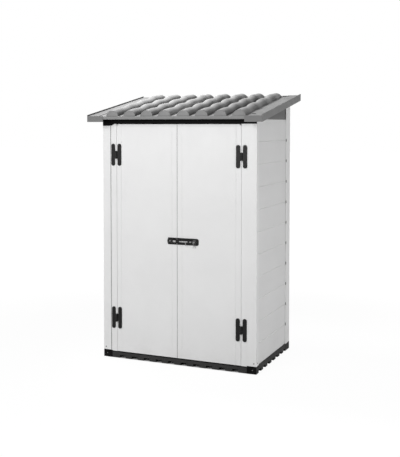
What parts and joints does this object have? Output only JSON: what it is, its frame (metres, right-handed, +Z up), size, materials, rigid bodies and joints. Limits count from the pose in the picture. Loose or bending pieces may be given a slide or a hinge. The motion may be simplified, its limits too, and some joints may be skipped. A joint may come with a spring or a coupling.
{
  "type": "garden shed",
  "caption": "Garden shed with a single-slope tiled roof, walls of stacked hollow planks, a floor on feet and two hinged doors closed by a sliding bolt.",
  "frame": {"origin": "on the ground, under the middle of the roof", "axes": "+X to the right seen from the doors, -Y out of the doors, +Z up"},
  "size_m": [1.348, 0.893, 1.9572],
  "materials": {
    "white_frame": "smooth matt extruded plastic",
    "white_wall": "matt extruded plastic with a faint grain",
    "roof_tile": "grey satin moulded plastic",
    "roof_trim": "grey satin moulded plastic",
    "infill_board": "dark grey matt plastic",
    "base_plastic": "dark grey moulded plastic",
    "black_plastic": "black satin moulded plastic",
    "black_metal": "black powder coat",
    "bright_metal": "zinc-plated steel"
  },
  "bodies": {
    "frame": {"base_floor": "base_plastic", "corner_foot_caps": "black_plastic", "post_front_left": "white_frame", "post_front_right": "white_frame", "post_rear_left": "white_frame", "post_rear_right": "white_frame", "plank_left_1": "white_wall", "plank_left_2": "white_wall", "plank_left_3": "white_wall", "plank_left_4": "white_wall", "plank_left_5": "white_wall", "plank_left_6": "white_wall", "plank_left_7": "white_wall", "plank_left_8": "white_wall", "plank_left_9": "white_wall", "plank_left_10": "white_wall", "plank_left_11": "white_wall", "plank_right_1": "white_wall", "plank_right_2": "white_wall", "plank_right_3": "white_wall", "plank_right_4": "white_wall", "plank_right_5": "white_wall", "plank_right_6": "white_wall", "plank_right_7": "white_wall", "plank_right_8": "white_wall", "plank_right_9": "white_wall", "plank_right_10": "white_wall", "plank_right_11": "white_wall", "plank_rear_1": "white_wall", "plank_rear_2": "white_wall", "plank_rear_3": "white_wall", "plank_rear_4": "white_wall", "plank_rear_5": "white_wall", "plank_rear_6": "white_wall", "plank_rear_7": "white_wall", "plank_rear_8": "white_wall", "plank_rear_9": "white_wall", "plank_rear_10": "white_wall", "plank_rear_11": "white_wall", "gable_infills": "infill_board", "rear_top_board": "infill_board", "door_jambs": "white_frame", "lintel": "black_plastic", "post_top_caps": "black_plastic", "hinge_jamb_leaves": "black_metal", "hinge_pins": "bright_metal", "roof_panel_left": "roof_tile", "roof_panel_right": "roof_tile", "verge_left": "roof_trim", "verge_right": "roof_trim"},
    "left_door": {"door_left": "white_frame", "hinge_leaves_left": "black_metal", "latch_keeper": "black_metal", "keeper_sleeve": "bright_metal"},
    "right_door": {"door_right": "white_frame", "hinge_leaves_right": "black_metal", "latch_plate": "black_metal", "key_set": "bright_metal"},
    "sliding_bolt": {"bolt": "bright_metal"},
    "lock_barrel": {"lock_cylinder": "bright_metal"}
  },
  "joints": [
    {"name": "left_door_hinge", "type": "hinge", "parent": "frame", "child": "left_door", "pos_m": [-0.489, -0.3525, 0], "axis": [0, 0, -1], "range_deg": [0, 160]},
    {"name": "right_door_hinge", "type": "hinge", "parent": "frame", "child": "right_door", "pos_m": [0.489, -0.3525, 0], "axis": [0, 0, 1], "range_deg": [0, 160]},
    {"name": "bolt_slide", "type": "slide", "parent": "right_door", "child": "sliding_bolt", "axis": [-1, 0, 0], "range_m": [0, 0.024]},
    {"name": "lock_turn", "type": "hinge", "parent": "right_door", "child": "lock_barrel", "pos_m": [0.138, -0.3525, 0.893], "axis": [0, 1, 0], "range_deg": [0, 90]}
  ]
}
